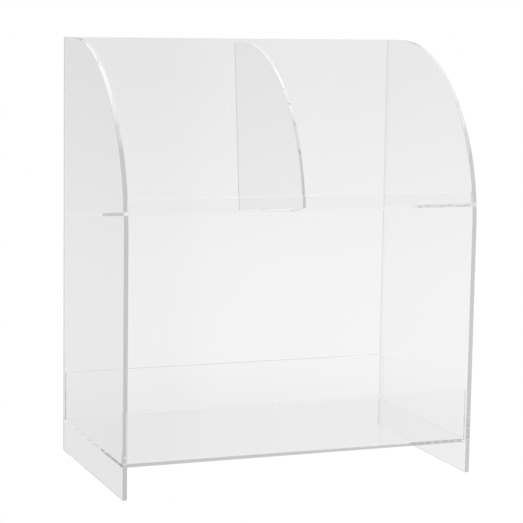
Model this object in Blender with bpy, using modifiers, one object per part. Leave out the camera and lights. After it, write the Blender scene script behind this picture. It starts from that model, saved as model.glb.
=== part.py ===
"""Desktop file sorter of clear acrylic sheet, two tiers high.

Two side panels carry a back panel, a level base shelf and an upper shelf that slopes down to the
rear. Lips along the shelves keep files in. A divider with a rounded front parts the upper tier
in two bays: it stands square on the sloping shelf and clear of the back panel.
Every piece is flat sheet, bonded edge to face.

Frame: metres, +Z up, front towards -Y, origin on the table at the centre of the footprint.
"""

from math import cos, pi, radians, sin, tan

import bpy

# Overall size
WIDTH = 0.340
DEPTH = 0.198
HEIGHT = 0.400

# Sheet thicknesses
PANEL_SHEET = 0.004  # side panels and back panel
SHELF_SHEET = 0.003  # shelves, lips and divider

# Side panels: the top front corner is a quarter circle
SWEEP_RADIUS = 0.166
SWEEP_SEGMENTS = 32

# Shelves and lips
FRONT_SETBACK = 0.0035  # from the side panels' front edges to the shelves' front edges
BASE_CLEARANCE = 0.0285  # from the table to the base shelf's underside
BASE_LIP_TOP = 0.078
UPPER_SHELF_FRONT_TOP = 0.254
UPPER_SHELF_SLOPE = radians(6.5)
UPPER_LIP_TOP = 0.2647

# Divider, measured along the sloping shelf from the upper lip, and square to it
DIVIDER_LENGTH = 0.165
DIVIDER_HEIGHT = 0.162
DIVIDER_RADIUS = 0.160

# Fits and finish
BOND_GAP = 0.0003  # left at every bonded joint
EDGE_BREAK = 0.0003  # chamfer on the sheets' cut edges
WELD_DISTANCE = 0.0001
SHARP_ANGLE = radians(30)

# Places that follow from the sizes
FRONT = -DEPTH / 2
REAR = DEPTH / 2
INNER_WIDTH = WIDTH - 2 * PANEL_SHEET
SHEET_LENGTH = INNER_WIDTH - 2 * BOND_GAP
BACK_FACE = REAR - PANEL_SHEET
SHELF_FRONT = FRONT + FRONT_SETBACK
SHELF_REAR = BACK_FACE - BOND_GAP
LIP_REAR = SHELF_FRONT + SHELF_SHEET
BASE_SHELF_TOP = BASE_CLEARANCE + SHELF_SHEET

PARTS = "desktop_file_sorter"


def upper_shelf_top(y):
    """Height of the sloping shelf's upper face at a distance along Y."""
    return UPPER_SHELF_FRONT_TOP - (y - SHELF_FRONT) * tan(UPPER_SHELF_SLOPE)


def above_upper_shelf(along, up):
    """(y, z) of a point given along the sloping shelf, from the upper lip, and square to it."""
    y = LIP_REAR + along * cos(UPPER_SHELF_SLOPE) + up * sin(UPPER_SHELF_SLOPE)
    foot = upper_shelf_top(LIP_REAR)
    z = foot - along * sin(UPPER_SHELF_SLOPE) + up * cos(UPPER_SHELF_SLOPE)
    return y, z


def clear_scene():
    for obj in list(bpy.data.objects):
        bpy.data.objects.remove(obj, do_unlink=True)


def acrylic(name, colour, roughness):
    material = bpy.data.materials.new(name)
    material.use_nodes = True
    shader = material.node_tree.nodes["Principled BSDF"]
    shader.inputs["Base Color"].default_value = (*colour, 1.0)
    shader.inputs["Roughness"].default_value = roughness
    shader.inputs["Metallic"].default_value = 0.0
    shader.inputs["IOR"].default_value = 1.49
    shader.inputs["Transmission Weight"].default_value = 1.0
    return material


def add_part(name, data, frame, collection, colour, roughness=0.04):
    """A new object in the part collection, parented to the sorter's empty."""
    obj = bpy.data.objects.new(name, data)
    collection.objects.link(obj)
    obj.parent = frame
    data.materials.append(acrylic(name, colour, roughness))
    return obj


def break_edges(obj):
    """The small chamfer that scraping and polishing leaves along a sheet's cut edges."""
    bevel = obj.modifiers.new("edge_break", "BEVEL")
    bevel.width = EDGE_BREAK
    bevel.segments = 1
    bevel.limit_method = "ANGLE"
    bevel.angle_limit = SHARP_ANGLE


def box_sheet(name, size, frame, collection, colour):
    """A rectangular sheet, size along X, Y and Z, centred on its own origin."""
    bpy.ops.mesh.primitive_cube_add(size=1)
    cube = bpy.context.active_object
    mesh = cube.data
    bpy.data.objects.remove(cube, do_unlink=True)
    mesh.name = name
    for vertex in mesh.vertices:
        vertex.co = [c * s for c, s in zip(vertex.co, size)]
    obj = add_part(name, mesh, frame, collection, colour)
    break_edges(obj)
    return obj


def cut_sheet(name, outline, thickness, frame, collection, colour):
    """A sheet cut to an outline of (y, z) points, standing across X and centred on X = 0."""
    curve = bpy.data.curves.new(name, "CURVE")
    curve.dimensions = "2D"
    curve.fill_mode = "BOTH"
    curve.extrude = thickness / 2
    spline = curve.splines.new("POLY")
    spline.points.add(len(outline) - 1)
    for point, (y, z) in zip(spline.points, outline):
        point.co = (y, z, 0.0, 1.0)
    spline.use_cyclic_u = True
    obj = add_part(name, curve, frame, collection, colour)
    obj.rotation_euler = (pi / 2, 0.0, pi / 2)
    weld = obj.modifiers.new("join_faces", "WELD")
    weld.merge_threshold = WELD_DISTANCE
    break_edges(obj)
    return obj


def quarter_round(centre_along, centre_up, radius):
    """Points of a quarter circle, from its foremost point to its highest."""
    angles = [pi / 2 * i / SWEEP_SEGMENTS for i in range(SWEEP_SEGMENTS + 1)]
    return [(centre_along - radius * cos(a), centre_up + radius * sin(a)) for a in angles]


def side_panel(name, side, frame, collection):
    """A side panel. side is -1 for the left and +1 for the right."""
    sweep = quarter_round(FRONT + SWEEP_RADIUS, HEIGHT - SWEEP_RADIUS, SWEEP_RADIUS)
    outline = [(REAR, 0.0), (FRONT, 0.0), *sweep, (REAR, HEIGHT)]
    colour = (0.93, 0.94, 0.94)
    obj = cut_sheet(name, outline, PANEL_SHEET, frame, collection, colour)
    obj.location.x = side * (WIDTH - PANEL_SHEET) / 2
    return obj


def back_panel(frame, collection):
    """Stands between the side panels, from the base shelf's underside to the top."""
    height = HEIGHT - BASE_CLEARANCE
    size = (SHEET_LENGTH, PANEL_SHEET, height)
    obj = box_sheet("back_panel", size, frame, collection, (0.94, 0.95, 0.94))
    obj.location = (0.0, REAR - PANEL_SHEET / 2, BASE_CLEARANCE + height / 2)
    return obj


def base_shelf(frame, collection):
    depth = SHELF_REAR - SHELF_FRONT
    size = (SHEET_LENGTH, depth, SHELF_SHEET)
    obj = box_sheet("base_shelf", size, frame, collection, (0.92, 0.93, 0.93))
    obj.location = (0.0, SHELF_FRONT + depth / 2, BASE_CLEARANCE + SHELF_SHEET / 2)
    return obj


def base_lip(name, front, frame, collection):
    """An upright strip on the base shelf, its front face at the given Y."""
    bottom = BASE_SHELF_TOP + BOND_GAP
    height = BASE_LIP_TOP - bottom
    size = (SHEET_LENGTH, SHELF_SHEET, height)
    obj = box_sheet(name, size, frame, collection, (0.94, 0.95, 0.95))
    obj.location = (0.0, front + SHELF_SHEET / 2, bottom + height / 2)
    return obj


def upper_shelf(frame, collection):
    """Turned about X so that its rear edge is the lower one and just clears the back panel."""
    reach = SHELF_REAR - SHELF_FRONT
    length = reach / cos(UPPER_SHELF_SLOPE)
    size = (SHEET_LENGTH, length, SHELF_SHEET)
    obj = box_sheet("upper_shelf", size, frame, collection, (0.92, 0.93, 0.93))
    half = SHELF_SHEET / 2
    middle = SHELF_FRONT + reach / 2
    obj.rotation_euler.x = -UPPER_SHELF_SLOPE
    obj.location.y = middle - half * sin(UPPER_SHELF_SLOPE)
    obj.location.z = upper_shelf_top(middle) - half * cos(UPPER_SHELF_SLOPE)
    return obj


def upper_front_lip(frame, collection):
    """A low upright strip whose bottom edge is cut to the shelf's slope."""
    outline = [
        (LIP_REAR, upper_shelf_top(LIP_REAR) + BOND_GAP),
        (SHELF_FRONT, UPPER_SHELF_FRONT_TOP + BOND_GAP),
        (SHELF_FRONT, UPPER_LIP_TOP),
        (LIP_REAR, UPPER_LIP_TOP),
    ]
    colour = (0.94, 0.95, 0.95)
    return cut_sheet("upper_front_lip", outline, SHEET_LENGTH, frame, collection, colour)


def centre_divider(frame, collection):
    """A quarter-round sheet, drawn along and square to the sloping shelf."""
    centre = (BOND_GAP + DIVIDER_RADIUS, DIVIDER_HEIGHT - DIVIDER_RADIUS)
    corners = [
        (DIVIDER_LENGTH, BOND_GAP),
        (BOND_GAP, BOND_GAP),
        *quarter_round(*centre, DIVIDER_RADIUS),
        (DIVIDER_LENGTH, DIVIDER_HEIGHT),
    ]
    outline = [above_upper_shelf(along, up) for along, up in corners]
    colour = (0.93, 0.94, 0.94)
    return cut_sheet("centre_divider", outline, SHELF_SHEET, frame, collection, colour)


def build():
    clear_scene()
    collection = bpy.data.collections.new(PARTS)
    bpy.context.scene.collection.children.link(collection)
    frame = bpy.data.objects.new("sorter_frame", None)
    collection.objects.link(frame)

    side_panel("left_side_panel", -1, frame, collection)
    side_panel("right_side_panel", 1, frame, collection)
    back_panel(frame, collection)
    base_shelf(frame, collection)
    base_lip("base_front_lip", SHELF_FRONT, frame, collection)
    base_lip("base_rear_lip", SHELF_REAR - SHELF_SHEET, frame, collection)
    upper_shelf(frame, collection)
    upper_front_lip(frame, collection)
    centre_divider(frame, collection)


build()
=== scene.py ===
"""Looks of the desktop file sorter: clear, polished acrylic sheet on a pale studio table.

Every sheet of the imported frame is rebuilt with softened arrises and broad, flat faces. Where two
sheets are cemented together the faces carry a bond mark, so that light passes from one sheet into
the next as it does through a solvent joint. The rear part of the left panel's shelf joints and the
back panel's ends are dry: there the side panel keeps its own polished face.
"""

from math import cos, e, pi, radians, sin, tan

import bmesh
import bpy
from mathutils import Matrix, Vector


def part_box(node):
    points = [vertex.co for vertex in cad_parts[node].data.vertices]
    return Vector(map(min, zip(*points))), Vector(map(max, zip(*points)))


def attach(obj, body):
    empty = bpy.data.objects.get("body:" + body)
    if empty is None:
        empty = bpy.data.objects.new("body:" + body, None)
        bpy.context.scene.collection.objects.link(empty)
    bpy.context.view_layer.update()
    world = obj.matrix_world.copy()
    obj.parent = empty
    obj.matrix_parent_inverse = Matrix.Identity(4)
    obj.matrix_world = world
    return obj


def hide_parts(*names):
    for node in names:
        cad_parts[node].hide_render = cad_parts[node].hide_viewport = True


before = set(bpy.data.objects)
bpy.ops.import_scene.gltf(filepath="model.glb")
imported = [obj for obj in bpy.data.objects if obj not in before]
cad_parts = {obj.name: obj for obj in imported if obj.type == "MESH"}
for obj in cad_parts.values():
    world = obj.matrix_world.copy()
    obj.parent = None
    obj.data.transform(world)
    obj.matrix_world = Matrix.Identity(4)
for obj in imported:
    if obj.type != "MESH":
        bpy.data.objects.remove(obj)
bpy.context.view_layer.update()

# Shape of the sheets beyond what their boxes give
SWEEP_RADIUS = 0.166
SWEEP_SEGMENTS = 96
SHELF_SLOPE = radians(6.5)
DIVIDER_LENGTH = 0.165  # along the sloping shelf
DIVIDER_HEIGHT = 0.162  # square to it
DIVIDER_RADIUS = 0.160
SIDE_SHEET = 0.0042  # thickness as drawn, a little off the stock 4 and 3 mm
BASE_SHEET = 0.00283
DIVIDER_SHEET = 0.00285
ARRIS = 0.00035  # softened corner along a cut edge
ARRIS_SEGMENTS = 3
CREASE = radians(40)  # edges sharper than this keep separate faces
CORNER = radians(30)  # edges sharper than this are softened

# Joints
CEMENT = 0.00002  # thickness of a cemented joint
CLEAR_JOINT = 0.02  # share of light scattered by a joint's cement
SIDE_JOINT = 0.35  # the saw-cut ends on the side panels hold more bubbles
LEFT_CEMENT_END = -0.03  # y, where the left panel's shelf joints run dry
GLUE_FILLET = 0.0003  # from the upper lip to the divider's foot
TOUCH = 0.0004  # a face within this distance of a joint's plane belongs to it

# How far a unit vector must follow an axis to count as square to it or along it
SQUARE = 0.99
ALONG = 0.9  # also holds for the upper shelf, which slopes

# Light lost per metre of acrylic, in red, green and blue
CLEAR = (1.35, 1.35, 1.4)
CLEARER = (0.3, 0.3, 0.31)
DULL = (2.0, 2.0, 2.05)
LOSING_STEPS = 24.0  # light that has met this many faces loses no more

# Finish of the acrylic
REFRACTION = 1.5
CUT_ROUGHNESS = 0.015
WIPED_ROUGHNESS = 0.03
STREAK_TURN = (0.3, 0.5, 0.4)
STREAK_SCALE = (9.0, 9.0, 220.0)
STREAK_LEVELS = (0.62, 0.75)  # levels of the noise between which a streak sets in
WAVE_SCALE = 14.0  # slow waviness of the cast faces
MARK_SCALE = 60.0  # polishing marks on the cut edges
MARK_DEPTH = 0.3
BUMP_STRENGTH = 0.05
BUMP_DISTANCE = 0.0002
BUBBLE_SCALE = 90.0
BUBBLE_LEVELS = (0.6, 0.75)
BUBBLE_WHITE = (0.95, 0.95, 0.95, 1.0)

# Studio brightness, as seen through and in the acrylic
WHITE = (1.0, 1.0, 1.0, 1.0)
OVERHEAD = 1.15
OVERHEAD_FADE = (0.3, 0.65)  # heights of the direction between which it sets in
LIT_TABLE = 1.06
TABLE_FADE = (-0.30, -0.38)
AHEAD_FADE = (0.985, 0.93)  # cosines of the angle off the camera's axis
PAINTED_SHADE_UNDER = 0.94  # painted shade: how bright the glowing table is kept right under the sorter
PAINTED_SHADE_REACH = (0.1, 0.6)  # distances from the middle over which that painted shade ends
SOFT_BOX_SIDE = 1.6
SOFT_BOX_HEIGHT = 2.0
TABLE_SIZE = 20.0
TABLE_GAP = 0.0002
LIGHT_STEPS = 200
# round the camera's axis, in turns: 0 and 1 are behind the camera, 0.5 is straight ahead
AROUND_CAMERA = (
    (0.0, 0.6),
    (0.25, 0.65),
    (0.34, 0.8),
    (0.366, 0.86),
    (0.38, 0.8),
    (0.397, 0.77),
    (0.481, 0.965),
    (0.4865, 0.948),
    (0.4905, 0.918),
    (0.4948, 0.965),
    (0.5075, 0.985),
    (0.516, 0.99),
    (0.60, 0.85),
    (0.75, 0.75),
    (0.85, 0.72),
    (0.91, 0.72),
    (1.0, 0.6),
)
# by the height of the direction: 0 is straight down, 0.5 level, 1 straight up
BY_HEIGHT = (
    (0.0, 0.74),
    (0.25, 0.80),
    (0.345, 0.90),
    (0.372, 0.96),
    (0.43, 0.94),
    (0.48, 0.865),
    (0.55, 0.83),
    (0.62, 0.88),
)

# Camera, at the angle of the product view
CAMERA_AT = Vector((-0.6404, -1.6373, 0.4345))
CAMERA_YAW = radians(21.23)
CAMERA_PITCH = radians(7.83)
CAMERA_ROLL = radians(0.92)
CAMERA_LENS = 129.4
CAMERA_SENSOR = 36.0

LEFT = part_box("left_side_panel")
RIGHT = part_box("right_side_panel")
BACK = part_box("back_panel")
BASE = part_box("base_shelf")
FRONT_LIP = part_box("base_front_lip")
REAR_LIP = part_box("base_rear_lip")
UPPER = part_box("upper_shelf")
UPPER_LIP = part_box("upper_front_lip")

FRONT = LEFT[0].y
REAR = LEFT[1].y
TOP = LEFT[1].z
INNER_LEFT = LEFT[0].x + SIDE_SHEET
INNER_RIGHT = RIGHT[1].x - SIDE_SHEET
SHEET_ENDS = (INNER_LEFT + CEMENT, INNER_RIGHT - CEMENT)
BACK_FACE = BACK[0].y
SHELF_FRONT = BASE[0].y
SHELF_REAR = BACK_FACE - CEMENT
LIP_REAR = FRONT_LIP[1].y
SHELF_SHEET = BASE[1].z - BASE[0].z
BASE_TOP = BASE[0].z + BASE_SHEET
DIVIDER_X = (-DIVIDER_SHEET / 2, DIVIDER_SHEET / 2)


def upper_top(y):
    """Height of the sloping shelf's upper face at a place along Y."""
    return UPPER[1].z - (y - SHELF_FRONT) * tan(SHELF_SLOPE)


def upper_underside(y):
    return upper_top(y) - SHELF_SHEET / cos(SHELF_SLOPE)


def above_upper_shelf(along, up):
    """(y, z) of a point given along the sloping shelf, from its lip, and square to it."""
    y = LIP_REAR + along * cos(SHELF_SLOPE) + up * sin(SHELF_SLOPE)
    z = upper_top(LIP_REAR) - along * sin(SHELF_SLOPE) + up * cos(SHELF_SLOPE)
    return y, z


# Sheets


def prism(outline, low_x, high_x):
    """A closed mesh: an outline of (y, z) points drawn out along X."""
    mesh = bmesh.new()
    ring = [mesh.verts.new((low_x, y, z)) for y, z in outline]
    cap = mesh.faces.new(ring)
    drawn = bmesh.ops.extrude_face_region(mesh, geom=[cap])
    moved = [v for v in drawn["geom"] if isinstance(v, bmesh.types.BMVert)]
    bmesh.ops.translate(mesh, verts=moved, vec=(high_x - low_x, 0, 0))
    bmesh.ops.recalc_face_normals(mesh, faces=mesh.faces)
    return mesh


def soften(mesh, is_free):
    """Rounds the sharp edges that is_free, given their middle and direction, says are open."""
    edges = []
    for edge in mesh.edges:
        middle = (edge.verts[0].co + edge.verts[1].co) / 2
        along = (edge.verts[1].co - edge.verts[0].co).normalized()
        if edge.calc_face_angle() > CORNER and is_free(middle, along):
            edges.append(edge)
    bmesh.ops.bevel(
        mesh,
        geom=edges,
        offset=ARRIS,
        segments=ARRIS_SEGMENTS,
        profile=0.5,
        affect="EDGES",
        clamp_overlap=True,
    )


def score(mesh, planes):
    """Splits faces along planes (point, normal), so that a joint has its own faces."""
    for point, normal in planes:
        everything = mesh.verts[:] + mesh.edges[:] + mesh.faces[:]
        bmesh.ops.bisect_plane(mesh, geom=everything, plane_co=point, plane_no=normal)


def across_x(places):
    return [((x, 0, 0), (1, 0, 0)) for x in places]


def across_y(places):
    return [((0, y, 0), (0, 1, 0)) for y in places]


def across_z(places):
    return [((0, 0, z), (0, 0, 1)) for z in places]


def sheet(name, mesh, material, is_broad, is_bonded, haze=CLEAR_JOINT):
    """Makes the piece, marks its broad, cut and cemented faces, and gives it to the frame.

    haze is the share of light that its cemented faces scatter.
    """
    for edge in mesh.edges:
        edge.smooth = edge.calc_face_angle() < CREASE
    data = bpy.data.meshes.new(name + "_sheet")
    mesh.to_mesh(data)
    mesh.free()
    cut = data.attributes.new("cut_edge", "FLOAT", "FACE")
    bond = data.attributes.new("bond", "FLOAT", "FACE")
    milky = data.attributes.new("haze", "FLOAT", "FACE")
    for face in data.polygons:
        joined = is_bonded(face.center, face.normal)
        cut.data[face.index].value = 0.0 if is_broad(face.normal) else 1.0
        bond.data[face.index].value = 1.0 if joined else 0.0
        milky.data[face.index].value = haze if joined else 0.0
    data.shade_smooth()
    data.materials.append(material)
    piece = bpy.data.objects.new(name + "_sheet", data)
    bpy.context.scene.collection.objects.link(piece)
    even = piece.modifiers.new("even_normals", "WEIGHTED_NORMAL")
    even.mode = "FACE_AREA"
    even.keep_sharp = True
    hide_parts(name)
    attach(piece, "root")


def quarter_round(centre_along, centre_up, radius):
    """Points of a quarter circle, from its foremost point to its highest."""
    angles = [pi / 2 * i / SWEEP_SEGMENTS for i in range(SWEEP_SEGMENTS + 1)]
    return [(centre_along - radius * cos(a), centre_up + radius * sin(a)) for a in angles]


def near(value, target):
    return abs(value - target) < TOUCH


def runs_along_x(along):
    return abs(along.x) > ALONG


def faces_along_x(normal):
    return abs(normal.x) > SQUARE


def faces_along_y(normal):
    return abs(normal.y) > SQUARE


def side_joint(point, shelf_cement_end):
    """True for a point of a side panel's inner face that another sheet's end is cemented to.

    The shelves are cemented from the front as far as shelf_cement_end and lie dry behind it.
    The back panel's ends touch the side panels dry.
    """
    y, z = point.y, point.z
    if not SHELF_FRONT < y < BACK_FACE:
        return False
    if BASE[0].z < z < BASE_TOP or upper_underside(y) < z < upper_top(y):
        return y < shelf_cement_end
    if BASE_TOP < z < FRONT_LIP[1].z:
        return y < LIP_REAR or y > REAR_LIP[0].y
    return upper_top(y) < z < UPPER_LIP[1].z and y < LIP_REAR


def side_panel(name, outer_x, inner_x, shelf_cement_end, material):
    sweep = quarter_round(FRONT + SWEEP_RADIUS, TOP - SWEEP_RADIUS, SWEEP_RADIUS)
    outline = [(REAR, LEFT[0].z), (FRONT, LEFT[0].z), *sweep, (REAR, TOP)]
    mesh = prism(outline, min(outer_x, inner_x), max(outer_x, inner_x))
    soften(mesh, lambda middle, along: True)
    sloped = (0, sin(SHELF_SLOPE), cos(SHELF_SLOPE))
    planes = across_z((BASE[0].z, BASE_TOP, FRONT_LIP[1].z, UPPER_LIP[1].z))
    planes += across_y((SHELF_FRONT, LIP_REAR, shelf_cement_end, REAR_LIP[0].y, BACK_FACE))
    planes += [((0, 0, upper_top(0)), sloped), ((0, 0, upper_underside(0)), sloped)]
    score(mesh, planes)

    def is_bonded(centre, normal):
        on_inner_face = faces_along_x(normal) and near(centre.x, inner_x)
        return on_inner_face and side_joint(centre, shelf_cement_end)

    sheet(name, mesh, material, faces_along_x, is_bonded, SIDE_JOINT)


def back_panel(material):
    """Its left end lets light through to the side panel's face, its right end keeps its own."""
    low, high = BACK
    outline = [(low.y, low.z), (low.y, high.z), (high.y, high.z), (high.y, low.z)]
    mesh = prism(outline, *SHEET_ENDS)
    soften(mesh, lambda middle, along: runs_along_x(along))
    shelf_top = upper_top(BACK_FACE)
    shelf_underside = upper_underside(BACK_FACE)
    score(mesh, across_z((BASE_TOP, REAR_LIP[1].z, shelf_top, shelf_underside)))

    def is_bonded(centre, normal):
        if faces_along_x(normal):
            return centre.x < 0
        if normal.y > -SQUARE:
            return False
        return centre.z < REAR_LIP[1].z or shelf_underside < centre.z < shelf_top

    sheet("back_panel", mesh, material, faces_along_y, is_bonded)


def base_shelf(material):
    low = BASE[0]
    outline = [(low.y, low.z), (low.y, BASE_TOP), (SHELF_REAR, BASE_TOP), (SHELF_REAR, low.z)]
    mesh = prism(outline, *SHEET_ENDS)

    def is_free(middle, along):
        return runs_along_x(along) and near(middle.y, low.y) and near(middle.z, low.z)

    soften(mesh, is_free)
    score(mesh, across_y((LIP_REAR, REAR_LIP[0].y)))

    def is_bonded(centre, normal):
        if faces_along_x(normal) or normal.y > SQUARE:
            return True
        return normal.z > SQUARE and not LIP_REAR < centre.y < REAR_LIP[0].y

    def is_broad(normal):
        return abs(normal.z) > SQUARE

    sheet("base_shelf", mesh, material, is_broad, is_bonded)


def base_lip(name, box, rear, material):
    """An upright strip on the base shelf. The rear one is cemented to the back panel too."""
    low, high = box
    foot = BASE_TOP + CEMENT
    outline = [(low.y, foot), (low.y, high.z), (rear, high.z), (rear, foot)]
    mesh = prism(outline, *SHEET_ENDS)
    soften(mesh, lambda middle, along: runs_along_x(along) and near(middle.z, high.z))
    against_back = near(rear, BACK_FACE)

    def is_bonded(centre, normal):
        if faces_along_x(normal) or normal.z < -SQUARE:
            return True
        return against_back and normal.y > SQUARE

    sheet(name, mesh, material, faces_along_y, is_bonded)


def upper_shelf(material):
    outline = [
        (SHELF_FRONT, upper_underside(SHELF_FRONT)),
        (SHELF_FRONT, upper_top(SHELF_FRONT)),
        (SHELF_REAR, upper_top(SHELF_REAR)),
        (SHELF_REAR, upper_underside(SHELF_REAR)),
    ]
    mesh = prism(outline, *SHEET_ENDS)

    def is_free(middle, along):
        lower = middle.z < upper_top(SHELF_FRONT) - TOUCH
        return runs_along_x(along) and lower and near(middle.y, SHELF_FRONT)

    soften(mesh, is_free)
    foot_end = above_upper_shelf(DIVIDER_LENGTH, 0)[0]
    score(mesh, across_y((LIP_REAR, foot_end)) + across_x(DIVIDER_X))

    def is_bonded(centre, normal):
        if faces_along_x(normal) or normal.y > SQUARE:
            return True
        if normal.z < ALONG:
            return False
        under_divider = DIVIDER_X[0] < centre.x < DIVIDER_X[1] and centre.y < foot_end
        return centre.y < LIP_REAR or under_divider

    def is_broad(normal):
        return abs(normal.z) > ALONG

    sheet("upper_shelf", mesh, material, is_broad, is_bonded)


def upper_front_lip(material):
    high_z = UPPER_LIP[1].z
    outline = [
        (SHELF_FRONT, upper_top(SHELF_FRONT) + CEMENT),
        (SHELF_FRONT, high_z),
        (LIP_REAR, high_z),
        (LIP_REAR, upper_top(LIP_REAR) + CEMENT),
    ]
    mesh = prism(outline, *SHEET_ENDS)
    soften(mesh, lambda middle, along: runs_along_x(along) and near(middle.z, high_z))

    def is_bonded(centre, normal):
        return faces_along_x(normal) or normal.z < -ALONG

    sheet("upper_front_lip", mesh, material, faces_along_y, is_bonded)


def centre_divider(material):
    """Stands square on the sloping shelf, clear of the back panel."""
    centre = (GLUE_FILLET + DIVIDER_RADIUS, DIVIDER_HEIGHT - DIVIDER_RADIUS)
    corners = [
        (DIVIDER_LENGTH, CEMENT),
        (GLUE_FILLET, CEMENT),
        *quarter_round(*centre, DIVIDER_RADIUS),
        (DIVIDER_LENGTH, DIVIDER_HEIGHT),
    ]
    outline = [above_upper_shelf(along, up) for along, up in corners]
    mesh = prism(outline, *DIVIDER_X)

    def is_free(middle, along):
        return middle.z > upper_top(middle.y) + TOUCH and not runs_along_x(along)

    soften(mesh, is_free)

    def is_bonded(centre, normal):
        return normal.z < -ALONG

    sheet("centre_divider", mesh, material, faces_along_x, is_bonded)


# Acrylic


class Nodes:
    """Short calls for building a node tree."""

    def __init__(self, tree):
        self.tree = tree
        tree.nodes.clear()

    def add(self, kind, **values):
        node = self.tree.nodes.new(kind)
        for name, value in values.items():
            setattr(node, name, value)
        return node

    def join(self, source, target):
        self.tree.links.new(source, target)

    def feed(self, node, inputs):
        for key, value in inputs.items():
            if isinstance(value, bpy.types.NodeSocket):
                self.join(value, node.inputs[key])
            else:
                node.inputs[key].default_value = value
        return node

    def math(self, operation, *values):
        node = self.add("ShaderNodeMath", operation=operation)
        self.feed(node, dict(enumerate(values)))
        return node.outputs[0]

    def attribute(self, name):
        return self.add("ShaderNodeAttribute", attribute_name=name).outputs["Fac"]

    def noise(self, place, seed, scale, detail):
        node = self.add("ShaderNodeTexNoise", noise_dimensions="4D")
        self.feed(node, {"Vector": place, "W": seed, "Scale": scale, "Detail": detail})
        return node.outputs["Fac"]

    def fade(self, value, levels, first=0.0, last=1.0, curve="SMOOTHSTEP"):
        """From first to last while value goes between the two levels."""
        node = self.add("ShaderNodeMapRange", interpolation_type=curve)
        self.feed(node, {"Value": value, 1: levels[0], 2: levels[1], 3: first, 4: last})
        return node.outputs[0]

    def blend(self, factor, first, second):
        node = self.add("ShaderNodeMix", data_type="FLOAT")
        self.feed(node, {0: factor, 2: first, 3: second})
        return node.outputs[0]

    def blend_shaders(self, factor, first, second):
        node = self.add("ShaderNodeMixShader")
        self.feed(node, {0: factor, 1: first, 2: second})
        return node.outputs[0]

    def ramp(self, place, stops):
        """A straight-sided curve through (place, brightness) stops."""
        node = self.add("ShaderNodeValToRGB")
        elements = node.color_ramp.elements
        node.color_ramp.interpolation = "LINEAR"
        while len(elements) < len(stops):
            elements.new(0.5)
        for element, (position, value) in zip(elements, stops):
            element.position = position
            element.color = (value, value, value, 1.0)
        self.feed(node, {0: place})
        return node.outputs["Color"]


def cement(n, place, seed):
    """A joint between two sheets: clear, with small clouds of bubbles in the cement."""
    clouds = n.noise(place, seed + 9.0, BUBBLE_SCALE, 3.0)
    bubbles = n.fade(clouds, BUBBLE_LEVELS, curve="LINEAR")
    back = n.feed(n.add("ShaderNodeBsdfDiffuse"), {"Color": BUBBLE_WHITE})
    through = n.feed(n.add("ShaderNodeBsdfTranslucent"), {"Color": BUBBLE_WHITE})
    milk = n.blend_shaders(0.5, back.outputs[0], through.outputs[0])
    clear = n.add("ShaderNodeBsdfTransparent").outputs[0]
    return n.blend_shaders(n.math("MULTIPLY", n.attribute("haze"), bubbles), clear, milk)


def streaks(n, place, seed):
    """Roughness of the long, thin streaks left by wiping and polishing."""
    turned = n.add("ShaderNodeMapping")
    n.feed(turned, {"Vector": place, "Rotation": STREAK_TURN, "Scale": STREAK_SCALE})
    lines = n.noise(turned.outputs[0], seed + 3.0, 1.0, 2.0)
    return n.fade(lines, STREAK_LEVELS, last=WIPED_ROUGHNESS, curve="LINEAR")


def surface_relief(n, place, cut, seed):
    """Cast faces are a touch wavy, cut edges carry polishing marks."""
    wave = n.noise(place, seed, WAVE_SCALE, 1.0)
    marks = n.noise(place, seed + 5.0, MARK_SCALE, 1.0)
    shallow = n.math("MULTIPLY_ADD", marks, MARK_DEPTH, (1 - MARK_DEPTH) / 2)
    height = n.blend(cut, wave, shallow)
    bump = n.add("ShaderNodeBump")
    n.feed(bump, {"Strength": BUMP_STRENGTH, "Distance": BUMP_DISTANCE, "Height": height})
    return bump.outputs[0]


def light_left(n, absorption):
    """Colour of what is left of the light after its way through the sheet.

    Light that stays in for long gains as much by scattering as it loses.
    """
    inside = n.add("ShaderNodeNewGeometry").outputs["Backfacing"]
    path = n.add("ShaderNodeLightPath").outputs
    losing = n.math("LESS_THAN", path["Ray Depth"], LOSING_STEPS)
    way = n.math("MULTIPLY", n.math("MULTIPLY", inside, losing), path["Ray Length"])
    left = n.add("ShaderNodeCombineColor")
    for channel, share in zip(("Red", "Green", "Blue"), absorption):
        n.join(n.math("POWER", e, n.math("MULTIPLY", way, -share)), left.inputs[channel])
    return left.outputs[0]


def acrylic(name, absorption, seed):
    """Clear acrylic sheet: cast faces, polished cut edges and cemented joints."""
    material = bpy.data.materials.new(name)
    material.use_nodes = True
    n = Nodes(material.node_tree)
    place = n.add("ShaderNodeTexCoord").outputs["Object"]
    cut = n.attribute("cut_edge")
    finish = {
        "Color": light_left(n, absorption),
        "Roughness": n.math("MULTIPLY_ADD", cut, CUT_ROUGHNESS, streaks(n, place, seed)),
        "IOR": REFRACTION,
        "Normal": surface_relief(n, place, cut, seed),
    }
    glass = n.feed(n.add("ShaderNodeBsdfGlass"), finish)
    surface = n.blend_shaders(n.attribute("bond"), glass.outputs[0], cement(n, place, seed))
    n.join(surface, n.add("ShaderNodeOutputMaterial").inputs["Surface"])
    return material


# Studio


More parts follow.
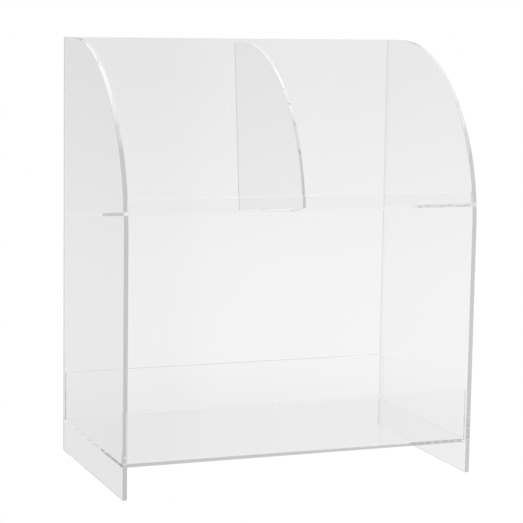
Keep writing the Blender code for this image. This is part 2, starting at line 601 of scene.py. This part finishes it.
def surroundings_seen_in_acrylic():
    """Brightness of the studio by direction, for light that has met the acrylic.

    The rig stands round the camera as it does for a product on a turntable: a white sweep behind
    the product, flags to its sides, a dim room on the camera's side and a soft box overhead.
    The table is lit brightest away from the part that the product is seen against.
    """
    tree = bpy.data.node_groups.new("studio_light", "ShaderNodeTree")
    tree.interface.new_socket("Direction", in_out="INPUT", socket_type="NodeSocketVector")
    tree.interface.new_socket("Strength", in_out="OUTPUT", socket_type="NodeSocketFloat")
    n = Nodes(tree)
    direction = n.add("NodeGroupInput").outputs["Direction"]
    to_camera = n.add("ShaderNodeVectorTransform", vector_type="VECTOR")
    to_camera.convert_from = "WORLD"
    to_camera.convert_to = "CAMERA"
    n.feed(to_camera, {"Vector": direction})
    seen = n.feed(n.add("ShaderNodeSeparateXYZ"), {0: to_camera.outputs[0]}).outputs
    height = n.feed(n.add("ShaderNodeSeparateXYZ"), {0: direction}).outputs["Z"]
    angle = n.math("ARCTAN2", seen["X"], seen["Z"])
    around = n.ramp(n.math("MULTIPLY_ADD", angle, 1 / (2 * pi), 0.5), AROUND_CAMERA)
    up = n.ramp(n.math("MULTIPLY_ADD", height, 0.5, 0.5), BY_HEIGHT)
    wall = n.math("MULTIPLY", around, up)
    beside = n.fade(seen["Z"], AHEAD_FADE)
    lit = n.math("MULTIPLY", n.fade(height, TABLE_FADE), beside)
    with_table = n.blend(lit, wall, LIT_TABLE)
    strength = n.blend(n.fade(height, OVERHEAD_FADE), with_table, OVERHEAD)
    n.join(strength, n.add("NodeGroupOutput").inputs["Strength"])
    return tree


def studio_strength(n, group, direction):
    """The studio's brightness in a direction, and whether the camera itself looks there."""
    around = n.feed(n.add("ShaderNodeGroup", node_tree=group), {"Direction": direction})
    return around.outputs[0], n.add("ShaderNodeLightPath").outputs["Is Camera Ray"]


def table_top(group):
    """A plain table that glows rather than being lit, white to the camera, with a little painted
    shade right under the sorter.
    """
    bpy.ops.mesh.primitive_plane_add(size=TABLE_SIZE)
    plane = bpy.context.active_object
    plane.name = "studio_table"
    plane.location.z = -TABLE_GAP
    material = bpy.data.materials.new("studio_table")
    material.use_nodes = True
    n = Nodes(material.node_tree)
    back = n.add("ShaderNodeNewGeometry").outputs["Incoming"]
    direction = n.add("ShaderNodeVectorMath", operation="SCALE")
    n.feed(direction, {"Vector": back, "Scale": -1.0})
    place = n.add("ShaderNodeTexCoord").outputs["Object"]
    from_middle = n.feed(n.add("ShaderNodeVectorMath", operation="LENGTH"), {0: place})
    # painted shade: the table's glow is turned down right under the sorter
    painted_shade = n.fade(from_middle.outputs["Value"], PAINTED_SHADE_REACH, first=PAINTED_SHADE_UNDER)
    level, camera_looks = studio_strength(n, group, direction.outputs[0])
    strength = n.blend(camera_looks, n.math("MULTIPLY", level, painted_shade), 1.0)
    light = n.feed(n.add("ShaderNodeEmission"), {"Color": WHITE, "Strength": strength})
    n.join(light.outputs[0], n.add("ShaderNodeOutputMaterial").inputs["Surface"])
    plane.data.materials.append(material)


def surroundings(group):
    """The studio itself, white to the camera."""
    world = bpy.data.worlds.new("studio")
    bpy.context.scene.world = world
    world.use_nodes = True
    n = Nodes(world.node_tree)
    direction = n.add("ShaderNodeTexCoord").outputs["Generated"]
    level, camera_looks = studio_strength(n, group, direction)
    strength = n.blend(camera_looks, level, 1.0)
    background = n.feed(n.add("ShaderNodeBackground"), {"Color": WHITE, "Strength": strength})
    n.join(background.outputs[0], n.add("ShaderNodeOutputWorld").inputs["Surface"])


def soft_box():
    """The lamp overhead, as bright as the studio's ceiling that it hangs in front of."""
    lamp = bpy.data.lights.new("soft_box", "AREA")
    lamp.shape = "RECTANGLE"
    lamp.size = SOFT_BOX_SIDE
    lamp.size_y = SOFT_BOX_SIDE
    lamp.energy = OVERHEAD * pi * SOFT_BOX_SIDE**2
    obj = bpy.data.objects.new("soft_box", lamp)
    obj.location = (0, 0, SOFT_BOX_HEIGHT)
    bpy.context.scene.collection.objects.link(obj)


def camera():
    data = bpy.data.cameras.new("camera")
    data.lens = CAMERA_LENS
    data.sensor_width = CAMERA_SENSOR
    obj = bpy.data.objects.new("camera", data)
    bpy.context.scene.collection.objects.link(obj)
    turn = Matrix.Rotation(-CAMERA_YAW, 4, "Z") @ Matrix.Rotation(pi / 2 - CAMERA_PITCH, 4, "X")
    roll = Matrix.Rotation(CAMERA_ROLL, 4, "Z")
    obj.matrix_world = Matrix.Translation(CAMERA_AT) @ turn @ roll
    bpy.context.scene.camera = obj


def light_paths():
    """Enough bounces for light that runs along inside a sheet."""
    cycles = bpy.context.scene.cycles
    cycles.max_bounces = LIGHT_STEPS
    cycles.glossy_bounces = LIGHT_STEPS
    cycles.transmission_bounces = LIGHT_STEPS
    cycles.transparent_max_bounces = LIGHT_STEPS
    cycles.min_light_bounces = LIGHT_STEPS
    cycles.min_transparent_bounces = LIGHT_STEPS
    bpy.context.scene.view_settings.view_transform = "Standard"


def build_sorter():
    side = acrylic("side_acrylic", CLEAR, 1.0)
    back = acrylic("back_acrylic", CLEARER, 2.0)
    shelf = acrylic("base_shelf_acrylic", DULL, 3.0)
    upper = acrylic("upper_shelf_acrylic", CLEARER, 6.0)
    lip = acrylic("lip_acrylic", CLEAR, 4.0)
    divider = acrylic("divider_acrylic", CLEAR, 5.0)
    side_panel("left_side_panel", LEFT[0].x, INNER_LEFT, LEFT_CEMENT_END, side)
    side_panel("right_side_panel", RIGHT[1].x, INNER_RIGHT, BACK_FACE, side)
    back_panel(back)
    base_shelf(shelf)
    base_lip("base_front_lip", FRONT_LIP, LIP_REAR, lip)
    base_lip("base_rear_lip", REAR_LIP, SHELF_REAR, lip)
    upper_shelf(upper)
    upper_front_lip(lip)
    centre_divider(divider)


build_sorter()
studio = surroundings_seen_in_acrylic()
table_top(studio)
surroundings(studio)
soft_box()
camera()
light_paths()
